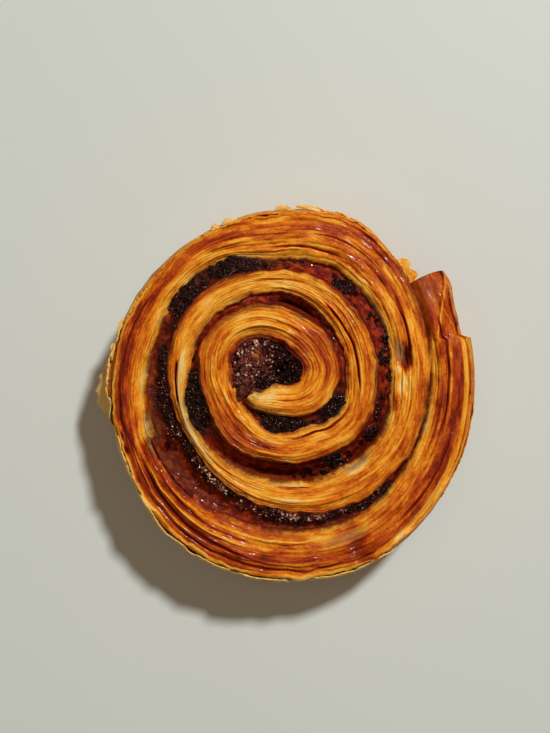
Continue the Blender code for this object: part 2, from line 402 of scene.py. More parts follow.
def laminated(a, s):
    """The sheets across the strip's top: shares across, relief, tones, and where the grooves are."""
    count, samples = len(a), len(SHEET_PROFILE)
    k = np.arange(1, SHEETS)[None, :]
    wander = 0.38 * waves(s / 21, k * 7.0, 1) + 0.09 * waves(s / 4.5, k * 7.0, 2)
    edges = np.concatenate([np.zeros((count, 1)), (k + wander) / SHEETS, np.ones((count, 1))], axis=1)
    sheet = np.arange(SHEETS)[None, :]
    opened = np.clip(waves(s / 9, sheet * 5.0, 3) + 0.1, 0, 1)
    depth = 0.08 + 0.55 * opened**2
    torn = np.tanh(6.0 * waves(s / 8, sheet * 13.0, 14))
    rise = 0.24 * waves(s / 14, sheet * 3.0, 4) + 0.15 * torn + 0.14 * waves(s / 1.9, sheet * 3.0, 5)
    fins = np.clip(waves(s / 20, sheet * 11.0, 6) - 0.4, 0, 1) * 1.2
    smoother = 0.35 + 0.65 * eased((a - 250.0) / 90.0)
    rise, depth = (rise + fins) * smoother, depth * smoother
    tone = 0.3 * waves(s / 26, sheet * 9.0, 7) + 0.24 * waves(s / 5, sheet * 9.0, 8) + 0.16 * torn

    shares = np.empty((count, SHEETS * samples + 1))
    relief, tones, shaded_grooves = np.empty_like(shares), np.empty_like(shares), np.empty_like(shares)
    for n, (t, by_depth, lift) in enumerate(SHEET_PROFILE):
        at = slice(n, SHEETS * samples, samples)
        shares[:, at] = edges[:, :-1] + (edges[:, 1:] - edges[:, :-1]) * t
        relief[:, at] = rise + by_depth * depth + lift
        tones[:, at] = tone
        shaded_grooves[:, at] = 1.0 if n == 0 else 0.0
    before = np.concatenate([rise[:, :1], rise[:, :-1]], axis=1)
    relief[:, 0 : SHEETS * samples : samples] = 0.5 * (before + rise) - depth
    shares[:, -1], tones[:, -1], shaded_grooves[:, -1] = 1.0, tone[:, -1], 0.0
    relief[:, -1] = rise[:, -1] - 0.3
    relief[:, 0] = rise[:, 0] - 0.3
    return shares, relief, tones, shaded_grooves


def browned(a, s, shares, relief, tones, shaded_grooves):
    """How browned the top is: by zone, by sheet and in patches, with the grooves a little darker as painted
    shade and raised, torn crests paler as a painted highlight.
    """
    zones = 0.46 + 0.14 * (shares - 0.5)
    for *where, amount in ZONES:
        zones = zones + amount * patch(a, shares, *where)
    patchy = 0.08 * waves(s / 9, shares * 5, 20) + 0.1 * waves(s / 2.6, shares * 12, 25)
    # The grooves between sheets are painted a little darker as shade.
    brown = zones + (0.1 + 0.25 * np.clip(zones, 0, 0.8)) * tones + 0.05 * shaded_grooves + patchy
    # Raised crests are painted paler as a highlight.
    brown = brown - 0.34 * np.clip(relief - 0.22, 0, 1) + 0.1 * waves(s / 5, shares * 8.0, 12)
    return brown + 0.14 * bump(shares, 1.0, 0.03) * (1 - free_share(a))


def cracked(a, s, shares, wide, height, brown):
    """The gaps between sheets, darker as painted shade as they are deeper, and the raised ridges paler as a
    painted highlight.
    """
    for first, last, share_a, share_b, deep in CRACKS:
        t = (a - first) / (last - first)
        wanted = share_a + (share_b - share_a) * np.clip(t, 0, 1) + 0.02 * waves(s / 5, 0.0, 17)
        inside = eased(t * 5) * eased((1 - t) * 5) * deep
        slit = bump((shares - wanted) * wide, 0.0, CRACK_MM)
        height = height - inside * slit
        # Painted shade darkens a gap by its depth; a ridge, below 0, is painted paler as a highlight.
        brown = brown + 0.5 * np.minimum(inside, 1.5) * slit
    return height, brown


def pitted(a, s, shares, height, brown):
    """The hollows, painted darker as shade, and the raw patches, with ragged edges."""
    ragged = 1.0 + 0.3 * waves(s / 1.6, shares * 14, 15)
    for zone, spread, share, across, deep, change in PITS:
        away = (np.abs(a - zone) / spread) ** 2.4 + (np.abs(shares - share) / across) ** 2.4
        hollow = np.exp(-away * ragged)
        height = height - deep * hollow
        # A hollow's darker tone is painted shade.
        brown = brown + change * hollow
    return height, brown


def stepped(a, s, shares, inset, relief, tones, height, brown):
    """The step down to the square-ended outer sheet near the tail."""
    from_end = eased((a - SHELF_FROM_DEG) / 2.5 + 0.3 * waves(shares * 40, 0.0, 18))
    ledge = from_end * (a < SHELF_TO_DEG) * eased((SHELF_MM - inset) / 0.5 + 0.5)
    height = height - ledge * (SHELF_DROP_MM - 0.8 * inset + relief * 0.6)
    wanted = 0.24 + 0.12 * tones + 0.1 * waves(s / 6, shares * 20, 19)
    return height, brown + ledge * (wanted - brown) * 0.92


def stained(a, s, shares, wide):
    """How much of the filling soaked into the strip's edges."""
    soaked = 0.75 + 0.6 * waves(s / 4, 0.0, 13) + 0.4 * waves(s / 1.1, shares * 9, 16)
    outside = bump((1 - shares) * wide, 0.0, 0.8 + 0.5 * soaked) * (1 - free_share(a))
    outside = outside * (1.0 - 0.7 * bump(a, 655.0, 25.0))
    reach = (0.6 + 0.4 * soaked) * (1 + 0.9 * bump(a, 410.0, 100.0))
    inside = bump(shares * wide, 0.0, reach) * (1.0 - 0.55 * bump(a, 1110.0, 30.0))
    return np.maximum(outside, inside) * np.clip(soaked, 0.15, 1.0)


def bared(a, s, shares):
    """How wet and see-through the dough is."""
    bare = np.zeros_like(shares)
    ragged = 1.4 + 0.3 * waves(s / 1.4, shares * 12, 53)
    for *where, amount in BARE:
        bare = np.maximum(bare, amount * eased(ragged * patch(a, shares, *where)))
    return bare


def top_of_strip(a, s):
    """The strip's laminated top: radii, heights, how browned it is with its painted shade and highlights,
    and how stained and bare it is.
    """
    shares, relief, tones, shaded_grooves = laminated(a, s)
    inner = dough_inner(a)
    outer = rim_radius(a) - RIM_INSET_MM * free_share(a)
    wide = outer - inner
    frayed_in = frayed(s, 51) * (1 - shares) ** 5 * (1.0 - 0.8 * eased((a - 1385.0) / 20.0))
    radius = inner + wide * shares + frayed_in + frayed(s, 52) * shares**5
    edge = inner_edge(a) + (outer_edge(a) - inner_edge(a)) * shares
    crown = 1.0 - np.abs(2.0 * shares - 1.0) ** 2.2
    drop = INNER_DROP_MM + (OUTER_DROP_MM - INNER_DROP_MM) * shares
    rolling = 0.45 * waves(s / 26, shares * 4.0, 9) + 0.2 * waves(s / 7, shares * 9.0, 10)
    taper = np.minimum(1.0, np.minimum(shares, 1.0 - shares) * 12.0 + 0.25)
    height = edge + drop * crown + (relief + rolling) * taper - 0.15
    brown = browned(a, s, shares, relief, tones, shaded_grooves)
    height, brown = cracked(a, s, shares, wide, height, brown)
    height, brown = pitted(a, s, shares, height, brown)
    height, brown = fold(a, shares, height, brown)
    height, brown = folded_tail(a, shares, height, relief * taper, brown)
    height, brown = stepped(a, s, shares, outer - radius, relief, tones, height, brown)
    height = height - 2.2 * (1.0 - eased((a - TIP_DEG) / 20.0))
    return radius, height, brown, stained(a, s, shares, wide), bared(a, s, shares)


def wall_of_strip(a, s):
    """The strip's outer face from the bottom up: hidden in the inner turns, barrel-shaped outside."""
    share = np.linspace(0.03, 0.985, WALL_POINTS)[None, :]
    low, top = wedge_level(a), outer_edge(a)
    bend = 0.72
    past = (share - bend) / (1 - bend)
    deep = dough_outer(a) + INNER_TURN_SHARE * seam_spare(a) * (a <= SEAM_END_DEG)
    hidden_height = np.where(share < bend, share / bend * low, low + past * (top - low))
    hidden = np.where(share < bend, deep, deep + (dough_outer(a) - deep) * past)
    folds = 0.55 * waves(s / 16, share * 2.6, 21) + 0.25 * waves(s / 4, share * 5.0, 22)
    folds = folds + 0.22 * waves(s / 30, share * 11.0, 28) + 0.12 * waves(s / 2.2, share * 9.0, 29)
    free_radius = wall_radius(a, share) + folds * np.minimum(1.0, (1.02 - share) * 5)
    free_radius = free_radius - 1.1 * eased((a - 1466.0) / 6.0) ** 2
    free = free_share(a)
    radius = hidden + (free_radius - hidden) * free
    height = hidden_height + (share * top - hidden_height) * free
    brown = WALL_TONE + 0.12 * waves(s / 14, share * 2.0, 23) + 0.08 * waves(s / 3, share * 7.0, 24)
    brown = brown + 0.16 * waves(s / 34, share * 13.0, 26) + 0.1 * waves(s / 12, share * 24.0, 27)
    brown = brown + 0.14 * bump(share, 0.93, 0.12) + 0.2 * bump(share, 0.0, 0.1)
    brown = brown - 0.3 * bump(share, 1.0, 0.14) * bump(a, 1335, 62) - 0.1 * bump(share, 0.0, 0.15)
    hidden_side = (1 - free) * (share > 0.6)
    return radius, height, brown + 0.4 * hidden_side, 0.9 * hidden_side


def dough_middle(angle):
    return 0.5 * (dough_inner(angle) + dough_outer(angle))


def make_dough():
    """The dough strip with its sheets, from the tip in the middle to the squared-off tail."""
    angle, distance = along(TIP_DEG, TAIL_DEG, DOUGH_STATIONS, dough_middle)
    a, s = angle[:, None], distance[:, None]
    inside = a - 360.0
    deep_inner = dough_inner(a) - (1.0 - INNER_TURN_SHARE) * seam_spare(inside)
    wall_r, wall_h, wall_brown, wall_stain = wall_of_strip(a, s)
    top_r, top_h, top_brown, top_stain, top_bare = top_of_strip(a, s)
    t = np.linspace(0.25, 1.0, FLANK_POINTS)[None, :]
    flank_r = top_r[:, :1] + (deep_inner - top_r[:, :1]) * t
    flank_h = top_h[:, :1] + (wedge_level(inside) - top_h[:, :1]) * t
    flank_brown = top_brown[:, :1] + 0.3 + 0.2 * t
    flank_stain = 0.7 + 0.3 * t + 0 * flank_r
    foot = wall_r[:, :1] - 0.8 * free_share(a)
    none = 0 * foot
    radius = np.concatenate([deep_inner, foot, wall_r, top_r[:, ::-1], flank_r], axis=1)
    height = np.concatenate([none, none, wall_h, top_h[:, ::-1], flank_h], axis=1)
    values = {
        "brown": [none + 0.6, none + 0.6, wall_brown, top_brown[:, ::-1], flank_brown],
        "stain": [none, none, wall_stain, top_stain[:, ::-1], flank_stain],
        "bare": [none, none, 0 * wall_stain, top_bare[:, ::-1], 0 * flank_r],
    }
    values = {key: np.concatenate(parts, axis=1) for key, parts in values.items()}
    across = radius - dough_inner(a)
    side = np.clip(across / (rim_radius(a) - dough_inner(a)), 0, 1)
    near_end = eased((a - 1440.0) / 30.0)
    end_shape = TAIL_BULGE_DEG - TAIL_SKEW_DEG * side**2 - TAIL_CORNER_DEG * side**14
    points = place(a + near_end * end_shape, radius, height)
    strip = stacked(s, across, height)
    made = piece("dough_strip", points, closed_faces(*radius.shape), values, strip)
    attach(made, "root")
    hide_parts("dough")
    return made


# Crumbly patches of the seam, with how thick they are
CRUMBS = (
    (278, 26, 0.5, 0.8, 1.0),
    (328, 18, 0.5, 0.8, 1.0),
    (562, 26, 0.5, 0.8, 1.0),
    (640, 40, 0.12, 0.16, 0.8),
    (829, 12, 0.6, 0.9, 1.2),
    (860, 11, 0.6, 0.9, 1.2),
    (905, 32, 0.32, 0.4, 0.9),
    (955, 30, 0.18, 0.2, 1.0),
    (1000, 22, 0.3, 0.34, 1.0),
    (1028, 14, 0.5, 0.6, 0.9),
    (702, 8, 0.35, 0.4, 0.6),
)

# Open crevices of the seam, with depth; they are painted near black as shade, darker the deeper they are
CREVICES = (
    (430, 19, 0.3, 0.26, 5.0),
    (400, 22, 0.3, 0.3, 1.6),
    (640, 34, 0.66, 0.3, 1.8),
    (684, 22, 0.7, 0.3, 1.4),
    (936, 2.4, 0.72, 0.13, 1.9),
)

# Heaps of crumbs that stand above the dough beside them: angle, its spread, height
HEAPS = ((829, 10, 1.5), (860, 9, 1.5), (278, 18, 0.5), (562, 18, 0.6), (765, 8, 0.6))

# Wet crumbs shine along the inner side of the outer seam, where they heap higher and many are painted paler
# as glints
SPARKLE_DEG, SPARKLE_SPREAD_DEG = 974, 46

# Thin see-through caramel
THIN_CARAMEL = (
    (925, 46, 0.75, 0.3),
    (810, 10, 0.8, 0.4),
    (640, 40, 1.0, 0.25),
    (697, 7, 0.95, 0.25),
    (1010, 30, 0.9, 0.3),
)


def seam_inner(angle):
    return dough_outer(angle) - np.maximum(0.0, SEAM_BLEND_DEG - angle) * SEAM_BLEND_MM_PER_DEG


def seam_outer(angle):
    return dough_inner(angle + 360.0)


def seam_middle(angle):
    return 0.5 * (dough_outer(angle) + seam_outer(angle))


def crumbly(a, s, v):
    """How crumbly the seam is: 0 where it is caramel, and about 1 where it is all crumbs."""
    grain = np.zeros((len(a), SEAM_POINTS))
    for zone, spread, share, across, amount in CRUMBS:
        grain = np.maximum(grain, amount * bump(a, zone, spread) ** 0.6 * bump(v, share, across))
    patchy = 2.0 * waves(s / 2.6, v * 2.2, 36) + 1.1 * waves(s / 0.8, v * 5, 39) - 0.1
    patchy = np.clip(patchy, 0, 1) * eased((110 - np.abs(a - 730)) / 30)
    grain = np.maximum(grain, 0.85 * patchy)
    return np.clip(grain + 0.3 * waves(s / 2.5, v * 3, 31) - 0.06, 0.0, 1.1)


def top_of_seam(a, s, v):
    """The top of the seam: radii, heights, how crumbly it is, its warmth with crevices painted near black as
    shade, and where its crumbs are painted glinting.
    """
    inner, width = seam_inner(a), seam_outer(a) - seam_inner(a)
    radius = inner - 0.6 + (width + 1.2) * v
    start, end = outer_edge(a) - 1.1, inner_edge(a + 360.0) - 1.0
    grain = crumbly(a, s, v)
    groove = 0.26 * width * np.sin(math.pi * v**1.2)
    height = start + (end - start) * v - groove * (1.0 - 0.55 * grain)
    black = np.zeros_like(radius)
    # Each crevice is sunk and painted near black as shade, darker the deeper it is.
    for *where, deep in CREVICES:
        opening = patch(a, v, *where)
        height = height - deep * opening
        black = np.maximum(black, opening * min(1.0, deep / 4.0))
    lumps = 0.5 * waves(s / 1.5, radius / 1.5, 32)
    grit = 0.34 * waves(s / 0.55, radius / 0.55, 33) + 0.16 * waves(s / 0.28, radius / 0.275, 34)
    height = height + grain * (0.7 + lumps + grit) + (1 - grain) * 0.3 * waves(s / 1.5, radius / 1.2, 35)
    for zone, spread, lift in HEAPS:
        height = height + lift * bump(a, zone, spread) * bump(v, 0.62, 0.42)
        radius = radius + 0.7 * bump(a, zone, spread) * eased((v - 0.6) / 0.3)
    near = bump(a, SPARKLE_DEG, SPARKLE_SPREAD_DEG)
    height = height + 1.3 * near * bump(v, 0.24, 0.22) * (0.8 + 0.5 * waves(s / 2.4, v, 38))
    sparkle = near * bump(v, 0.24, 0.24) * eased(0.6 + 1.5 * waves(s / 2.0, v * 4, 37))
    warmth_and_shade = np.zeros_like(radius)
    for where in THIN_CARAMEL:
        warmth_and_shade = np.maximum(warmth_and_shade, patch(a, v, *where))
    # Below 0 the warmth value carries the crevices' painted shade.
    return radius, height, grain, np.where(black > 0.15, -black, warmth_and_shade), sparkle


def make_seam():
    """The cinnamon seam: crumbs and caramel between the turns, and the crumbly plug in the middle."""
    angle, distance = along(SEAM_FROM_DEG, SEAM_END_DEG, SEAM_STATIONS, seam_middle)
    a, s = angle[:, None], distance[:, None]
    v = np.linspace(0.0, 1.0, SEAM_POINTS)[None, :]
    top_r, top_h, top_grain, top_warmth_and_shade, sparkle = top_of_seam(a, s, v)
    low = np.minimum(wedge_level(a), top_h.min(axis=1, keepdims=True) - 0.4)
    none = 0 * low
    deep_in = seam_inner(a) + INNER_TURN_SHARE * seam_spare(a) + SEAM_CLEAR_MM
    deep_out = seam_outer(a) - (1.0 - INNER_TURN_SHARE) * seam_spare(a) - SEAM_CLEAR_MM
    radius = np.concatenate([deep_in, deep_out, deep_out, top_r[:, ::-1], deep_in], axis=1)
    foot = none + FILLING_BASE_MM
    height = np.concatenate([foot, foot, low, top_h[:, ::-1], low], axis=1)
    grain, warmth_and_shade = (
        np.concatenate([none, none, none, top[:, ::-1], none], axis=1) for top in (top_grain, top_warmth_and_shade)
    )
    points = place(a, radius, height)
    strip = stacked(s, radius, height)
    plug_points, plug_faces, plug_warmth_and_shade, plug_strip = plug(radius.size)
    made = piece(
        "cinnamon_seam",
        np.concatenate([points.reshape(-1, 3), plug_points]),
        closed_faces(*radius.shape) + plug_faces,
        {
            "grain": np.concatenate([grain.ravel(), 0 * plug_warmth_and_shade + 1]),
            "warmth_and_shade": np.concatenate([warmth_and_shade.ravel(), plug_warmth_and_shade]),
        },
        np.concatenate([strip.reshape(-1, 3), plug_strip]),
    )
    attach(made, "root")
    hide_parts("cinnamon_filling")
    top = slice(3, 3 + SEAM_POINTS)
    return made, points[:, top], grain[:, top], sparkle[:, ::-1]


PLUG_TOP_MM = 34.6
PLUG_PIT_MM = 1.8
PLUG_RINGS = 52
PLUG_SPOKES = 300


def golden_spot(x, y):
    """The paler golden patch in the crumbs of the middle."""
    return np.exp(-(((x + 4.6) / 2.4) ** 2) - (((y - 5.0) / 2.3) ** 2))


def plug_pit(x, y):
    """The sunk hollow in the right half of the plug, whose middle is painted black as shade."""
    return np.exp(-(((x - 2.0) / 4.0) ** 2) - (((y - 0.5) / 3.2) ** 2))


def plug(offset):
    """The crumbly plug in the middle, as rings from its foot up and in to its middle."""
    turn = np.linspace(0.0, 360.0, PLUG_SPOKES, endpoint=False)[None, :]
    angle = turn - 135.0
    rim = seam_outer(angle) + 0.5 + 0.5 * waves(turn / 9, 0.0, 46)
    rim = rim + 3.4 * bump(angle, -133.0, 12.0) + 1.2 * bump(angle, 222.0, 6.0)
    share = np.concatenate([[1.0, 1.0], np.linspace(1.0, 0.0, PLUG_RINGS) ** 0.8])[:, None]
    radius = rim * share
    x, y = radius * np.cos(np.radians(angle)), radius * np.sin(np.radians(angle))
    lumps = 0.9 * waves(x / 2.3 + 9, y / 2.3 + 9, 41) + 0.5 * waves(x / 1.0 + 50, y / 1.0 + 50, 42)
    grit = 0.4 * waves(x / 0.5 + 90, y / 0.5 + 90, 43) + 0.2 * waves(x / 0.26 + 90, y / 0.26 + 90, 44)
    pit = plug_pit(x, y)
    height = PLUG_TOP_MM + lumps + grit - PLUG_PIT_MM * pit - 1.2 * eased((share - 0.8) / 0.2)
    height[0], height[1] = FILLING_BASE_MM, 30.0
    points = place(angle, radius, height).reshape(-1, 3)
    rows, columns = radius.shape
    faces = grid_faces(rows, columns, True, offset)
    faces.append([offset + j for j in range(columns)][::-1])
    warmth_and_shade = 1.0 - eased((x + 0.5 * y) / 3.0 + 0.6) + 0.7 * waves(x / 1.6 + 9, y / 1.6 + 9, 45)
    warmth_and_shade = np.clip(warmth_and_shade, 0, 1) + 1.3 * golden_spot(x, y)
    # The pit's middle is painted near black as shade.
    warmth_and_shade = np.where(pit > 0.55, 0.55 - pit, warmth_and_shade)
    return points, faces, warmth_and_shade.ravel(), stacked(x, y, height).reshape(-1, 3)


class Nodes:
    """A material's node tree, built by name."""

    def __init__(self, name):
        self.material = bpy.data.materials.new(name)
        self.material.use_nodes = True
        self.tree = self.material.node_tree
        self.shader = self.tree.nodes["Principled BSDF"]

    def put(self, socket, value):
        """Joins a node's output to a socket, or sets the socket's own value."""
        if isinstance(value, bpy.types.NodeSocket):
            self.tree.links.new(value, socket)
        else:
            socket.default_value = value

    def add(self, kind, output=0, settings=None, **inputs):
        node = self.tree.nodes.new(kind)
        for key, value in (settings or {}).items():
            setattr(node, key, value)
        for key, value in inputs.items():
            name = key.replace("_", " ")
            self.put(node.inputs[int(key[1:]) if key[0] == "i" and key[1:].isdigit() else name], value)
        return node.outputs[output]

    def value(self, name):
        """A named value of the mesh."""
        return self.add("ShaderNodeAttribute", 2, {"attribute_name": name})

    def vector(self, name):
        return self.add("ShaderNodeAttribute", 1, {"attribute_name": name})

    def math(self, kind, a, b=0.0, clamp=False):
        return self.add("ShaderNodeMath", 0, {"operation": kind, "use_clamp": clamp}, i0=a, i1=b)

    def scaled(self, vector, by):
        return self.add("ShaderNodeVectorMath", 0, {"operation": "MULTIPLY"}, i0=vector, i1=by)

    def noise(self, vector, scale, detail=3.0, roughness=0.55):
        return self.add(
            "ShaderNodeTexNoise", 0, None, Vector=vector, Scale=scale, Detail=detail, Roughness=roughness
        )

    def ramp(self, factor, stops):
        node = self.tree.nodes.new("ShaderNodeValToRGB")
        self.put(node.inputs[0], factor)
        band = node.color_ramp
        while len(band.elements) < len(stops):
            band.elements.new(0.5)
        for element, (at, colour) in zip(band.elements, stops):
            element.position = at
            element.color = (*colour, 1.0)
        return node.outputs[0]

    def mix(self, factor, a, b):
        node = self.tree.nodes.new("ShaderNodeMix")
        node.data_type = "RGBA"
        self.put(node.inputs[0], factor)
        for socket, value in ((node.inputs[6], a), (node.inputs[7], b)):
            self.put(socket, value if isinstance(value, bpy.types.NodeSocket) else (*value, 1.0))
        return node.outputs[2]

    def range(self, value, low, high, to_low=0.0, to_high=1.0):
        return self.add(
            "ShaderNodeMapRange", 0, {"clamp": True}, i0=value, i1=low, i2=high, i3=to_low, i4=to_high
        )

    def relief(self, height, distance, strength=1.0, normal=None):
        inputs = {"Height": height, "Distance": distance, "Strength": strength}
        if normal is not None:
            inputs["Normal"] = normal
        return self.add("ShaderNodeBump", 0, None, **inputs)

    def finish(self, **inputs):
        for key, value in inputs.items():
            self.put(self.shader.inputs[key.replace("_", " ")], value)
        return self.material


PEEL_ROWS_PER_DEG = 2.2
PEEL_POINTS = 16
PEEL_THICKNESS_MM = 0.3
FLAKE_ROWS, FLAKE_POINTS = 14, 10
FLAKE_THICKNESS_MM = 0.28

# Sheets peeled off the outside: angles, heights as shares, gap, flare at their top, tone
PEELS = (
    (1147.0, 1201.0, 0.52, 1.0, 0.35, 0.3, 0.34),
    (1196.0, 1244.0, 0.3, 0.99, 0.3, 0.2, 0.42),
    (1242.0, 1281.0, 0.3, 0.96, 0.8, 1.1, -0.02),
    (1279.0, 1352.0, 0.25, 0.985, 0.3, 1.0, -0.06),
    (1340.0, 1386.0, 0.35, 0.97, 0.3, 0.9, -0.02),
    (1398.0, 1446.0, 0.2, 0.84, 0.2, 0.2, 0.3),
    (1120.0, 1150.0, 0.6, 1.0, 0.3, 0.5, 0.3),
)


def thin_sheets(name, sheets, thickness_mm, offset):
    """One piece of loose sheets, each given by its grid of points, its browning and its grain."""
    points, tones, strips, faces = [], [], [], []
    first = 0
    for grid, tone, strip in sheets:
        rows, columns = grid.shape[:2]
        faces += grid_faces(rows, columns, False, first)
        first += rows * columns
        points.append(grid.reshape(-1, 3))
        tones.append(tone.ravel())
        strips.append(strip.reshape(-1, 3))
    brown = np.concatenate(tones)
    values = {"brown": brown, "stain": 0 * brown}
    made = piece(name, np.concatenate(points), faces, values, np.concatenate(strips))
    skin = made.modifiers.new("thickness", "SOLIDIFY")
    skin.thickness = thickness_mm * MM
    skin.offset = offset
    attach(made, "root")
    return made


def peel(number, start, end, low, high, gap, flare, tone):
    """One sheet peeled off the side, torn along its top and settling on the wall at its ends."""
    t = np.linspace(0, 1, PEEL_POINTS)[None, :]
    a = np.linspace(start, end, int((end - start) * PEEL_ROWS_PER_DEG))[:, None]
    s = a * 0.9
    ends = np.minimum(a - start, end - a)
    torn_top = 0.05 * waves(s / 3.1, number * 3.0, 61) + 0.025 * waves(s / 0.8, number * 3.0, 62)
    torn_top = torn_top - 0.12 * np.clip(1 - ends / 6.0, 0, 1)
    torn_low = 0.06 * waves(s / 4.0, number * 5.0, 63)
    torn_low = torn_low + 0.75 * (high - low) * np.clip(1 - ends / 7.0, 0, 1) ** 1.5
    share = (low + torn_low) + (high + torn_top - low - torn_low) * t
    lifted = flare * t**2 * (0.6 + 0.5 * waves(s / 5.0, number * 4.0, 65))
    out = gap * (0.55 + 0.5 * waves(s / 7.0, number * 4.0 + t, 64)) + lifted
    settled = np.clip(out, 0.05, None) * np.clip(ends / 5.0, 0.15, 1.0)
    radius = wall_radius(a, np.clip(share, 0, 1)) + 0.15 + settled
    height = share * outer_edge(a)
    brown = tone + (WALL_TONE - tone) * (1.0 - t**6) + 0.12 * waves(s / 6, t * 4, 66)
    return place(a, radius, height), brown, stacked(s, radius, height)


def make_peels():
    """Thin outer sheets that came loose round the side, with torn edges."""
    sheets = [peel(number, *row) for number, row in enumerate(PEELS)]
    return thin_sheets("peeled_sheets", sheets, PEEL_THICKNESS_MM, offset=1.0)


# Flakes that stand out: angle, radius, height, length along, reach, tilt in degrees, tone
FLAKES = (
    (188.0, 48.6, 23.5, 13.0, 6.0, -22.0, -0.06),
    (180.5, 48.2, 24.0, 6.0, 3.4, -18.0, -0.03),
    (196.0, 49.4, 23.0, 6.0, 2.6, -24.0, 0.0),
    (38.0, 47.4, 26.2, 6.6, 5.4, 12.0, 0.28),
    (34.2, 46.8, 26.4, 6.0, 6.0, 2.0, 0.34),
    (40.5, 48.0, 26.8, 2.4, 2.8, 35.0, 0.12),
    (33.8, 46.4, 23.6, 3.0, 4.6, 8.0, 0.4),
    (43.5, 48.8, 27.0, 3.0, 1.8, 35.0, 0.16),
    (206.0, 49.0, 24.0, 5.0, 2.4, 35.0, 0.1),
    (214.0, 51.0, 25.0, 4.0, 2.0, 50.0, 0.08),
    (221.0, 53.0, 24.5, 6.0, 1.8, 45.0, 0.14),
    (76.0, 50.0, 27.2, 10.0, 1.5, 8.0, -0.05),
    (86.0, 48.8, 27.0, 5.0, 1.4, 12.0, -0.02),
    (106.0, 46.6, 27.0, 5.0, 1.4, 15.0, -0.04),
    (112.0, 46.2, 27.2, 2.4, 1.6, 20.0, -0.04),
    (65.0, 51.0, 26.8, 6.0, 1.3, 10.0, -0.02),
    (166.0, 47.4, 24.6, 9.0, 1.6, 0.0, 0.06),
    (174.0, 48.0, 24.6, 6.0, 2.0, 0.0, 0.08),
    (290.0, 65.2, 22.0, 6.0, 1.8, 40.0, 0.12),
    (300.0, 65.4, 20.0, 4.0, 2.2, 30.0, 0.1),
)


def flake(number, angle, radius, height, length, reach, tilt, tone):
    """One curled flake with a ragged outer edge."""
    u = np.linspace(-0.5, 0.5, FLAKE_ROWS)[:, None]
    t = np.linspace(0, 1, FLAKE_POINTS)[None, :]
    ragged = 1.0 + 0.16 * waves(u * 9 + number * 7, 0.0, 71) + 0.07 * waves(u * 30 + number * 7, 0.0, 72)
    out = reach * t * ragged * (1 - 0.35 * np.abs(2 * u) ** 3)
    side = length * u * (1 - 0.12 * t) + 0.25 * waves(t * 4 + number, 0.0, 73)
    rise = math.tan(math.radians(tilt)) * out - 0.05 * out**2 + 0.5 * waves(u * 3 + number, t * 2, 74)
    points = place(angle + np.degrees(side / radius), radius + out - 0.5, height + rise)
    tones = tone + 0.08 * waves(u * 5 + number * 3, t * 3, 75)
    return points, tones, stacked(side + number * 9, out, height + rise)


def make_flakes():
    """Loose curled flakes at the side and in the notch."""
    sheets = [flake(number, *row) for number, row in enumerate(FLAKES)]
    return thin_sheets("loose_flakes", sheets, FLAKE_THICKNESS_MM, offset=0.0)


# How the dough browns, from raw to dark
CRUST_STOPS = (
    (0.0, (0.85, 0.60, 0.23)),
    (0.06, (0.88, 0.55, 0.16)),
    (0.14, (0.88, 0.47, 0.08)),
    (0.28, (0.85, 0.40, 0.03)),
    (0.46, (0.72, 0.22, 0.008)),
    (0.64, (0.52, 0.095, 0.004)),
    (0.82, (0.34, 0.032, 0.002)),
    (1.0, (0.17, 0.014, 0.002)),
)


def crust_material():
    """Baked laminated dough: browned in zones and sheets, streaked along the strip, glazed."""
    n = Nodes("baked_dough_crust")
    strip = n.vector("strip")
    streak = n.noise(n.scaled(strip, (0.32, 2.3, 1.8)), 1.0, 4.0, 0.6)
    blotch = n.noise(n.scaled(strip, (0.8, 1.5, 1.5)), 1.0, 4.0, 0.65)
    cloud = n.noise(n.scaled(strip, (0.12, 0.5, 0.3)), 1.0, 3.0)
    fine = n.noise(n.scaled(strip, (2.8, 3.8, 3.6)), 1.0, 4.0, 0.65)
    glossy = n.noise(n.scaled(strip, (0.5, 1.4, 1.0)), 1.0, 3.0, 0.7)
    tone = n.math("ADD", n.value("brown"), n.range(streak, 0.32, 0.68, -0.07, 0.07))
    tone = n.math("ADD", tone, n.range(blotch, 0.3, 0.7, -0.12, 0.12))
    tone = n.math("ADD", tone, n.range(cloud, 0.3, 0.7, -0.15, 0.17))
    tone = n.math("ADD", tone, n.range(fine, 0.3, 0.7, -0.09, 0.09))
    colour = n.ramp(tone, CRUST_STOPS)
    bare = n.mix(n.range(blotch, 0.35, 0.65), (0.26, 0.10, 0.025), (0.50, 0.28, 0.09))
    colour = n.mix(n.value("bare"), colour, bare)
    soak = n.math("MULTIPLY", n.value("stain"), n.range(fine, 0.35, 0.6, 0.5, 1.1), True)
    colour = n.mix(soak, colour, (0.11, 0.011, 0.006))
    specks = n.noise(n.scaled(strip, (1.4, 1.4, 1.4)), 1.0, 1.0)
    colour = n.mix(n.range(specks, 0.77, 0.8, 0.0, 0.8), colour, (0.03, 0.01, 0.006))
    relief = n.relief(streak, 0.1 * MM, 0.7)
    relief = n.relief(fine, 0.2 * MM, 0.8, relief)
    return n.finish(
        Base_Color=colour,
        Roughness=n.range(tone, 0.2, 0.8, 0.6, 0.42),
        Normal=relief,
        Coat_Weight=n.math("MULTIPLY", n.range(glossy, 0.47, 0.6), n.range(tone, 0.3, 0.75, 0.15, 0.5)),
        Coat_Roughness=0.16,
        Subsurface_Weight=0.4,
        Subsurface_Radius=(1.0, 0.32, 0.08),
        Subsurface_Scale=1.1 * MM,
        Specular_IOR_Level=0.1,
    )


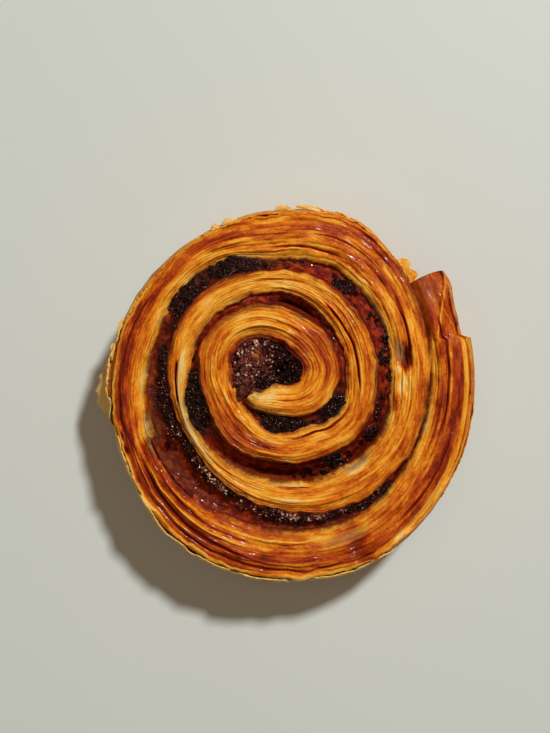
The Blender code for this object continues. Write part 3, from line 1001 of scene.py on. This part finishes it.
def seam_material():
    """Cinnamon sugar: black-brown crumbs where it is granular, glossy caramel elsewhere."""
    n = Nodes("cinnamon_sugar_seam")
    strip = n.vector("strip")
    grain, warmth_and_shade = n.value("grain"), n.value("warmth_and_shade")
    cloud = n.noise(n.scaled(strip, (0.45, 0.7, 0.7)), 1.0, 4.0, 0.6)
    grit = n.noise(strip, 2.2, 3.0, 0.65)
    caramel = n.ramp(
        cloud, ((0.3, (0.03, 0.003, 0.002)), (0.48, (0.16, 0.009, 0.004)), (0.66, (0.40, 0.045, 0.008)))
    )
    thin = n.ramp(
        cloud, ((0.3, (0.05, 0.006, 0.003)), (0.52, (0.12, 0.018, 0.004)), (0.72, (0.26, 0.065, 0.009)))
    )
    crumbs = n.ramp(
        grit, ((0.3, (0.003, 0.001, 0.001)), (0.6, (0.011, 0.003, 0.003)), (0.78, (0.06, 0.02, 0.018)))
    )
    browner = n.ramp(
        grit, ((0.32, (0.02, 0.003, 0.003)), (0.5, (0.12, 0.016, 0.012)), (0.7, (0.36, 0.12, 0.08)))
    )
    share = n.math("MULTIPLY", n.range(grain, 0.25, 0.6), n.range(warmth_and_shade, 2.2, 1.4))
    relief = n.relief(grit, n.range(grain, 0.0, 1.0, 0.35 * MM, 0.5 * MM), 0.9)
    glints = n.noise(n.scaled(strip, (1.0, 1.3, 1.3)), 1.3, 3.0, 0.7)
    smooth_part = n.mix(n.range(warmth_and_shade, 0.0, 1.0), caramel, thin)
    smooth_part = n.mix(n.range(warmth_and_shade, 1.2, 2.4), smooth_part, (0.5, 0.16, 0.03))
    colour = n.mix(share, smooth_part, n.mix(warmth_and_shade, crumbs, browner))
    # Below 0, the warmth value paints the crevices and the plug's pit near black as shade, with less shine.
    return n.finish(
        Base_Color=n.mix(n.range(warmth_and_shade, -0.05, -0.6), colour, (0.004, 0.001, 0.001)),
        Roughness=0.36,
        Normal=relief,
        Specular_IOR_Level=n.math("MULTIPLY", 0.1, n.range(warmth_and_shade, -0.6, 0.0)),
        Coat_Weight=n.math("MULTIPLY", n.range(glints, 0.55, 0.64), n.range(warmth_and_shade, -0.4, 0.0)),
        Coat_Roughness=0.09,
    )


OCTAHEDRON = ((1, 0, 0), (-1, 0, 0), (0, 1, 0), (0, -1, 0), (0, 0, 1), (0, 0, -1))
OCTAHEDRON_SIDES = (
    (0, 2, 4), (2, 1, 4), (1, 3, 4), (3, 0, 4), (2, 0, 5), (1, 2, 5), (3, 1, 5), (0, 3, 5)
)

# Counts on the seam and on the plug, and sizes from the smallest to the largest
SEAM_CRUMBS, PLUG_CRUMBS = 2900, 750
CRUMB_RADIUS_MM = (0.16, 0.5)
SEAM_GRAINS, PLUG_GRAINS = 1500, 160
GRAIN_RADIUS_MM = (0.13, 0.28)
UNEVEN = (0.7, 1.3)


def round_crumb():
    """A coarse ball: its points, about 1 in radius, and its triangles."""
    points, halves, faces = [np.array(c, float) for c in OCTAHEDRON], {}, []

    def half(i, j):
        key = (min(i, j), max(i, j))
        if key not in halves:
            halves[key] = len(points)
            middle = points[i] + points[j]
            points.append(middle / np.linalg.norm(middle))
        return halves[key]

    for i, j, k in OCTAHEDRON_SIDES:
        ij, jk, ki = half(i, j), half(j, k), half(k, i)
        faces += [(i, ij, ki), (ij, j, jk), (ki, jk, k), (ij, jk, ki)]
    return np.array(points), np.array(faces)


def plug_places(rng, count, reach):
    """Random places on the plug: plan angles and radii, out to a share of its area."""
    turn = rng.uniform(0, 360, count)
    share = np.sqrt(rng.uniform(0, reach, count))
    return turn, seam_outer((turn + 135.0) % 360.0 - 135.0) * share


def repeated(sides, count, corners):
    """Faces of many like shapes, whose points follow one another."""
    first = np.arange(count)[:, None, None] * corners
    return (np.array(sides)[None] + first).reshape(-1, 3).tolist()


def make_crumbs(surface, grain, sparkle):
    """Round black crumbs of baked cinnamon sugar, heaped on the seam and the plug."""
    rng = np.random.default_rng(11)
    weight = (np.clip(grain - 0.5, 0.0, 0.3) + 0.16 * sparkle).ravel()
    spots = surface.reshape(-1, 3)
    chosen = rng.choice(len(spots), SEAM_CRUMBS, replace=False, p=weight / weight.sum())
    turn, radius = plug_places(rng, PLUG_CRUMBS, 0.92)
    x, y = radius * np.cos(np.radians(turn)), radius * np.sin(np.radians(turn))
    sunk = PLUG_PIT_MM * plug_pit(x, y) + 1.3 * golden_spot(x, y)
    level = PLUG_TOP_MM + 0.3 - sunk + rng.uniform(-0.5, 0.5, PLUG_CRUMBS)
    centres = np.concatenate([spots[chosen], place(turn, radius, level)])
    ball, sides = round_crumb()
    count, corners = len(centres), len(ball)
    size = rng.uniform(*CRUMB_RADIUS_MM, (count, 1, 1)) * rng.uniform(*UNEVEN, (count, corners, 1)) * MM
    points = ball[None] * size + centres[:, None, :]
    patchy = eased(0.5 + 1.4 * waves(x / 1.6 + 30, y / 1.6 + 30, 47))
    brown_side = eased((2.5 - x) / 4.0) * eased((y - 0.3 * x + 3.0) / 5.0)
    golden = golden_spot(x, y) * rng.uniform(0.0, 0.8, PLUG_CRUMBS)
    paler = np.concatenate([0 * chosen, (0.62 * patchy + 0.02) * brown_side + golden])
    tone = np.clip(rng.uniform(0, 0.55, count) + paler, 0, 1)
    glint = rng.uniform(0, 1, count)
    painted_glint = np.concatenate([sparkle.ravel()[chosen], 0 * x])
    # Crumbs along the sparkle line are painted paler, up to pinkish white, as glints.
    tone = np.clip(tone + 1.5 * painted_glint * rng.uniform(0.0, 1.0, count), 0, 0.94)
    values = {"grain": np.repeat(tone, corners), "glint": np.repeat(glint, corners)}
    made = piece("cinnamon_crumbs", points, repeated(sides, count, corners), values)
    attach(made, "root")
    return made


def crumb_material():
    """Black baked crumbs, some of them red-brown, paler or wet, and those along the outer seam painted pale
    as glints.
    """
    n = Nodes("cinnamon_crumb")
    spot = n.noise(n.add("ShaderNodeTexCoord", 3), 1500.0, 2.0)
    stops = (
        (0.0, (0.003, 0.001, 0.001)),
        (0.4, (0.012, 0.003, 0.003)),
        (0.62, (0.07, 0.012, 0.008)),
        (0.85, (0.36, 0.13, 0.08)),
        # The pinkish white top stop serves the painted glints along the outer seam and the palest plug
        # crumbs.
        (1.0, (0.8, 0.5, 0.4)),
    )
    return n.finish(
        Base_Color=n.ramp(n.math("ADD", n.value("grain"), n.range(spot, 0.3, 0.7, -0.15, 0.15)), stops),
        Roughness=0.3,
        Specular_IOR_Level=0.12,
        Coat_Weight=n.range(n.value("glint"), 0.7, 0.95),
        Coat_Roughness=0.08,
        Normal=n.relief(spot, 0.08 * MM),
    )


def make_granules(surface, grain, sparkle):
    """Loose sugar and cinnamon grains on the crumbly patches of the seam and the plug."""
    rng = np.random.default_rng(5)
    weight = (0.5 * np.clip(grain - 0.45, 0.0, None) + 0.9 * sparkle).ravel()
    spots = surface.reshape(-1, 3)
    chosen = rng.choice(len(spots), SEAM_GRAINS, replace=False, p=weight / weight.sum())
    turn, radius = plug_places(rng, PLUG_GRAINS, 0.85)
    level = PLUG_TOP_MM + 0.6 + rng.uniform(-0.5, 0.4, PLUG_GRAINS)
    centres = np.concatenate([spots[chosen], place(turn, radius, level)])
    count, corners = len(centres), len(OCTAHEDRON)
    size = rng.uniform(*GRAIN_RADIUS_MM, (count, 1, 1)) * MM
    shape = np.array(OCTAHEDRON, float)[None] * rng.uniform(*UNEVEN, (count, corners, 1)) * size
    turned, _ = np.linalg.qr(rng.normal(size=(count, 3, 3)))
    above = np.array([0, 0, 0.1 * MM])
    points = np.einsum("nij,nkj->nki", turned, shape) + centres[:, None, :] + above
    tone = np.repeat(rng.uniform(0, 1, count), corners)
    faces = repeated(OCTAHEDRON_SIDES, count, corners)
    made = piece("sugar_grains", points, faces, {"grain": tone}, smooth=False)
    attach(made, "root")
    return made


def grain_material():
    """Shiny grains, from dark brown to pale sugar."""
    n = Nodes("sugar_grain")
    spot = n.noise(n.add("ShaderNodeTexCoord", 3), 900.0, 2.0)
    stops = (
        (0.0, (0.03, 0.004, 0.004)),
        (0.45, (0.10, 0.015, 0.01)),
        (0.75, (0.25, 0.07, 0.04)),
        (0.97, (0.55, 0.36, 0.30)),
    )
    return n.finish(
        Base_Color=n.ramp(n.math("ADD", n.value("grain"), n.range(spot, 0.3, 0.7, -0.12, 0.12)), stops),
        Roughness=0.14,
        Coat_Weight=n.range(n.value("grain"), 0.4, 0.8),
        Coat_Roughness=0.06,
        Normal=n.relief(spot, 0.1 * MM),
    )


def make_floor():
    """A plain pale table top, which isn't part of the roll."""
    bpy.ops.mesh.primitive_plane_add(size=3.0)
    floor = bpy.context.object
    floor.name = "table_top"
    n = Nodes("pale_table")
    spot = n.add("ShaderNodeTexCoord", 3)
    cloud = n.noise(spot, 6.0, 3.0)
    colour = n.mix(cloud, (0.585, 0.645, 0.635), (0.625, 0.685, 0.675))
    floor.data.materials.append(n.finish(Base_Color=colour, Roughness=0.6))


# Each lamp: azimuth and elevation in degrees, distance, size, power, colour
LAMPS = {
    "key": (55.0, 54.0, 2.0, 0.223, 34.6, (1.0, 0.975, 0.93)),
    "top": (200.0, 78.0, 0.9, 0.7, 0.8, (1.0, 0.9, 0.74)),
}
FILL_COLOUR, FILL_STRENGTH = (1.0, 0.66, 0.38, 1.0), 0.13


def make_lights():
    """A soft key from the upper right and a gentle fill all round."""
    world = bpy.data.worlds.new("studio")
    bpy.context.scene.world = world
    world.use_nodes = True
    colour, strength = world.node_tree.nodes["Background"].inputs[:2]
    colour.default_value = FILL_COLOUR
    strength.default_value = FILL_STRENGTH
    for name, (azimuth, elevation, distance, size, power, tint) in LAMPS.items():
        data = bpy.data.lights.new(name, "AREA")
        data.shape = "DISK"
        data.size = size
        data.energy = power
        data.color = tint
        lamp = bpy.data.objects.new(name, data)
        a, e = math.radians(azimuth), math.radians(elevation)
        aim = Vector((math.cos(a) * math.cos(e), math.sin(a) * math.cos(e), math.sin(e)))
        lamp.location = aim * distance
        lamp.rotation_mode = "QUATERNION"
        lamp.rotation_quaternion = aim.to_track_quat("Z", "Y")
        bpy.context.scene.collection.objects.link(lamp)


CAMERA_MM = (-2.7, 8.7, 456.6)
LENS_MM, SENSOR_MM = 70.0, 36.0


def make_camera():
    """Straight above, framed as the photograph is."""
    data = bpy.data.cameras.new("camera")
    data.lens = LENS_MM
    data.sensor_width = SENSOR_MM
    camera = bpy.data.objects.new("camera", data)
    camera.location = Vector(CAMERA_MM) * MM
    bpy.context.scene.collection.objects.link(camera)
    bpy.context.scene.camera = camera
    bpy.context.scene.view_settings.view_transform = "Standard"


crust = crust_material()
for made in (make_dough(), make_peels(), make_flakes()):
    made.data.materials.append(crust)
seam, seam_surface, seam_grain, seam_sparkle = make_seam()
seam.data.materials.append(seam_material())
make_crumbs(seam_surface, seam_grain, seam_sparkle).data.materials.append(crumb_material())
make_granules(seam_surface, seam_grain, seam_sparkle).data.materials.append(grain_material())
make_floor()
make_lights()
make_camera()
